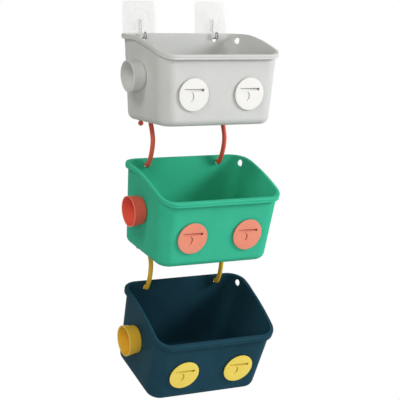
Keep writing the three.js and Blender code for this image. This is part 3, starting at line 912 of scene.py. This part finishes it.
def bump(nodes, links, shader, height, strength, distance):
    node = nodes.new("ShaderNodeBump")
    node.inputs["Strength"].default_value = strength
    node.inputs["Distance"].default_value = distance
    links.new(height, node.inputs["Height"])
    links.new(node.outputs["Normal"], shader.inputs["Normal"])


def linear(red, green, blue):
    """A colour as seen on screen, 0 to 255, made linear."""
    values = []
    for value in (red, green, blue):
        share = value / 255
        values.append(share / 12.92 if share <= 0.04045 else ((share + 0.055) / 1.055) ** 2.4)
    return (*values, 1)


def tinted(nodes, links, color, factor, tint):
    """A colour mixed towards a tint by a factor."""
    mix = nodes.new("ShaderNodeMix")
    mix.data_type = "RGBA"
    mix.inputs["B"].default_value = linear(*tint)
    links.new(factor, mix.inputs["Factor"])
    if isinstance(color, tuple):
        mix.inputs["A"].default_value = linear(*color)
    else:
        links.new(color, mix.inputs["A"])
    return mix.outputs["Result"]


def marked(nodes, attribute):
    """A number that the piece carries on its points, or 0 where it has none."""
    node = nodes.new("ShaderNodeAttribute")
    node.attribute_name = attribute
    return node.outputs["Fac"]


def moulded_plastic(name, light, deep, roughness, gloss):
    """Satin plastic: cloudy pigment, a painted highlight on lips, painted shade in recesses, uneven sheen
    and a fine spark-eroded skin.
    """
    material, nodes, links, shader = finish_nodes(name)
    cloud = ranged(nodes, links, noise(nodes, links, *PIGMENT_CLOUD), 0, 1)
    pale = [blend(value, 255, LIP_HIGHLIGHT) for value in light]
    recess_shade_tint = [value * (1 - RECESS_DARKER) * sqrt(value / 255) for value in deep]
    pigment = tinted(nodes, links, deep, cloud, light)
    # Painted highlight where a piece marks its lip.
    pigment = tinted(nodes, links, pigment, marked(nodes, "lip"), pale)
    # Painted shade where a piece marks a recess.
    pigment = tinted(nodes, links, pigment, marked(nodes, "recess"), recess_shade_tint)
    links.new(pigment, shader.inputs["Base Color"])
    sheen = noise(nodes, links, *SHEEN_PATCHES)
    low, high = (roughness + change for change in SHEEN_SPREAD)
    links.new(ranged(nodes, links, sheen, low, high), shader.inputs["Roughness"])
    shader.inputs["IOR"].default_value = PLASTIC_IOR
    shader.inputs["Specular IOR Level"].default_value = gloss
    bump(nodes, links, shader, noise(nodes, links, *SKIN_GRAIN), SKIN_STRENGTH, SKIN_DEPTH)
    return material


def clear_plastic():
    """Clear moulded plastic, thin where it is seen face on and denser towards its edges."""
    material, nodes, links, shader = finish_nodes("clear_plastic")
    shader.inputs["Base Color"].default_value = linear(218, 217, 215)
    flow = noise(nodes, links, 45, 3)
    links.new(ranged(nodes, links, flow, 0.1, 0.2), shader.inputs["Roughness"])
    edge = nodes.new("ShaderNodeLayerWeight")
    edge.inputs["Blend"].default_value = 0.3
    links.new(ranged(nodes, links, edge.outputs["Facing"], 0.07, 0.34, (0.2, 1)), shader.inputs["Alpha"])
    return material


def adhesive_film():
    """Clear soft adhesive film, slightly clouded."""
    material, nodes, links, shader = finish_nodes("adhesive_film")
    shader.inputs["Base Color"].default_value = linear(222, 221, 218)
    shader.inputs["Roughness"].default_value = 0.4
    cloud = noise(nodes, links, 60, 3)
    links.new(ranged(nodes, links, cloud, 0.1, 0.15), shader.inputs["Alpha"])
    return material


def steel_wire():
    """Bright drawn wire with fine die marks, and a painted reflection that darkens it towards its tip in
    front of the wall.
    """
    material, nodes, links, shader = finish_nodes("steel_wire")
    shader.inputs["Metallic"].default_value = 1
    place = nodes.new("ShaderNodeTexCoord")
    axes = nodes.new("ShaderNodeSeparateXYZ")
    links.new(place.outputs["Object"], axes.inputs["Vector"])
    # Painted reflection: the base colour darkens towards the tip.
    towards_wall = ranged(nodes, links, axes.outputs["Y"], 0, 1, WIRE_REFLECTION_SPAN)
    steel = tinted(nodes, links, (118, 119, 122), towards_wall, (178, 179, 181))
    links.new(steel, shader.inputs["Base Color"])
    marks = noise(nodes, links, 700, 2)
    links.new(ranged(nodes, links, marks, 0.16, 0.36), shader.inputs["Roughness"])
    bump(nodes, links, shader, marks, 0.03, 0.00004)
    return material


FINISH = {
    "gray": moulded_plastic("gray_plastic", (216, 218, 217), (211, 213, 211), 0.5, 0.1),
    "green": moulded_plastic("green_plastic", (67, 194, 156), (60, 188, 150), 0.46, 0.02),
    "navy": moulded_plastic("navy_plastic", (38, 74, 90), (33, 68, 83), 0.44, 0.015),
    "white": moulded_plastic("white_plastic", (247, 247, 245), (243, 243, 240), 0.48, 0.1),
    "coral_disc": moulded_plastic("pale_coral_plastic", (245, 156, 131), (241, 148, 124), 0.5, 0.08),
    "coral": moulded_plastic("coral_plastic", (238, 108, 88), (231, 98, 79), 0.42, 0.1),
    "yellow_disc": moulded_plastic("pale_yellow_plastic", (254, 230, 110), (250, 224, 102), 0.5, 0.08),
    "yellow": moulded_plastic("yellow_plastic", (236, 192, 66), (229, 183, 58), 0.42, 0.1),
    "clear": clear_plastic(),
    "film": adhesive_film(),
    "steel": steel_wire(),
}


# Assembly

def dress(piece, body, node, finish):
    """Puts a finished piece in the place of a solid."""
    piece.data.materials.clear()
    piece.data.materials.append(FINISH[finish])
    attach(piece, body)
    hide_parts(node)


def build_wall_hooks():
    for side_name in MIRROR:
        place = Matrix.Translation(mount_place[f"{side_name}_pad_back"])
        pad = rounded_slab(f"adhesive_film_{side_name}", PAD_SIZE, PLATE_CORNER, 0, -PAD_THICK, PAD_ROUND)
        plate = wall_plate(f"clear_plate_{side_name}")
        for piece in (pad, plate):
            piece.data.transform(place)
        path = [place @ point for point in wire_path()]
        name = f"hairpin_wire_{side_name}"
        wire = rod(name, path, FINISH["steel"], WIRE_RADIUS, WIRE_RADIUS, WIRE_RADIUS)
        dress(smooth(pad), "wall_hooks", f"wall_pad_{side_name}", "film")
        dress(plate, "wall_hooks", f"wall_plate_{side_name}", "clear")
        dress(wire, "wall_hooks", f"wire_hook_{side_name}", "steel")


def build_link_hooks():
    for color in HOOK_ROLL:
        for side_name in MIRROR:
            hook = link_hook(color, side_name, FINISH[color])
            dress(hook, f"{color}_hooks", f"{color}_hook_{side_name}", color)


# Each bin as its colour, body, cup colour, disc colour and the finish of its discs
BINS = (
    ("gray", "top_bin", "gray", "white", "white"),
    ("green", "middle_bin", "coral", "coral", "coral_disc"),
    ("navy", "bottom_bin", "yellow", "yellow", "yellow_disc"),
)


def build_bins():
    shell, cup, disc = bin_shell(), side_cup(), front_disc()
    top = BACK_HEIGHT - HANG_HOLE_TOP
    hang_point = Vector((0, back_face(top) - WALL / 2, top))
    for color, body, cup_color, disc_color, disc_finish in BINS:
        hang_place = Matrix.Translation(joint_place[f"{body}_swing"])
        place = hang_place @ Matrix.Rotation(BIN_TILT[color], 4, "X") @ Matrix.Translation(-hang_point)
        own_shell = placed_copy(shell, f"{color}_bin_shell", place)
        dress(own_shell, body, f"{color}_bin", color)
        own_cup = placed_copy(cup, f"{cup_color}_cup_shell", place @ cup_place())
        dress(own_cup, body, f"{cup_color}_side_cup", cup_color)
        for side_name, side in MIRROR.items():
            face = placed_copy(disc, f"{disc_color}_disc_{side_name}_face", place @ disc_place(side))
            dress(face, body, f"{disc_color}_disc_{side_name}", disc_finish)
    for pattern in (shell, cup, disc):
        bpy.data.objects.remove(pattern)


# Studio

def build_floor():
    angles = [2 * pi * step / TURN_STEPS for step in range(TURN_STEPS)]
    outline = [(FLOOR_RADIUS * cos(angle), FLOOR_RADIUS * sin(angle)) for angle in angles]
    mesh = bpy.data.meshes.new("studio_floor")
    mesh.from_pydata([(x, y, FLOOR_Z) for x, y in outline], [], [tuple(range(TURN_STEPS))])
    floor = bpy.data.objects.new("studio_floor", mesh)
    bpy.context.scene.collection.objects.link(floor)
    material, nodes, links, shader = finish_nodes("studio_floor")
    shader.inputs["Base Color"].default_value = (0.9, 0.9, 0.9, 1)
    shader.inputs["Roughness"].default_value = 0.9
    mesh.materials.append(material)


def build_world():
    """Soft light all round; the camera, glossy and clear surfaces see plain white."""
    world = bpy.data.worlds.new("studio")
    bpy.context.scene.world = world
    world.use_nodes = True
    nodes, links = world.node_tree.nodes, world.node_tree.links
    soft = nodes["Background"]
    soft.inputs["Color"].default_value = (1, 0.985, 0.96, 1)
    soft.inputs["Strength"].default_value = WORLD_LIGHT
    white = nodes.new("ShaderNodeBackground")
    white.inputs["Color"].default_value = (1, 1, 1, 1)
    white.inputs["Strength"].default_value = 1
    path = nodes.new("ShaderNodeLightPath")
    seen = path.outputs["Is Camera Ray"]
    for ray in ("Is Glossy Ray", "Is Transmission Ray"):
        either = nodes.new("ShaderNodeMath")
        either.operation = "MAXIMUM"
        links.new(seen, either.inputs[0])
        links.new(path.outputs[ray], either.inputs[1])
        seen = either.outputs[0]
    choose = nodes.new("ShaderNodeMixShader")
    links.new(seen, choose.inputs["Fac"])
    links.new(soft.outputs["Background"], choose.inputs[1])
    links.new(white.outputs["Background"], choose.inputs[2])
    links.new(choose.outputs["Shader"], nodes["World Output"].inputs["Surface"])


def add_lamp(name, azimuth, elevation, power, color):
    """A large soft lamp that faces the object, turned from the front to the right and up, in degrees."""
    lamp = bpy.data.lights.new(name, "AREA")
    lamp.shape = "DISK"
    lamp.size = LAMP_SIZE
    lamp.energy = power
    lamp.color = color
    holder = bpy.data.objects.new(name, lamp)
    turn, rise = radians(azimuth), radians(elevation)
    towards = Vector((cos(rise) * sin(turn), -cos(rise) * cos(turn), sin(rise)))
    holder.location = Vector(LIT_PLACE) + LAMP_DISTANCE * towards
    holder.rotation_euler = (-towards).to_track_quat("-Z", "Y").to_euler()
    bpy.context.scene.collection.objects.link(holder)


def build_camera():
    data = bpy.data.cameras.new("photo_camera")
    data.lens = CAMERA_LENS
    data.sensor_width = CAMERA_SENSOR
    data.clip_end = CAMERA_REACH
    camera = bpy.data.objects.new("photo_camera", data)
    camera.location = CAMERA_PLACE
    camera.rotation_euler = (pi / 2 - CAMERA_DOWN, 0, CAMERA_AZIMUTH)
    bpy.context.scene.collection.objects.link(camera)
    bpy.context.scene.camera = camera


build_wall_hooks()
build_bins()
build_link_hooks()
build_floor()
build_world()
for lamp_values in LAMPS:
    add_lamp(*lamp_values)
build_camera()
bpy.context.scene.view_settings.view_transform = "Standard"
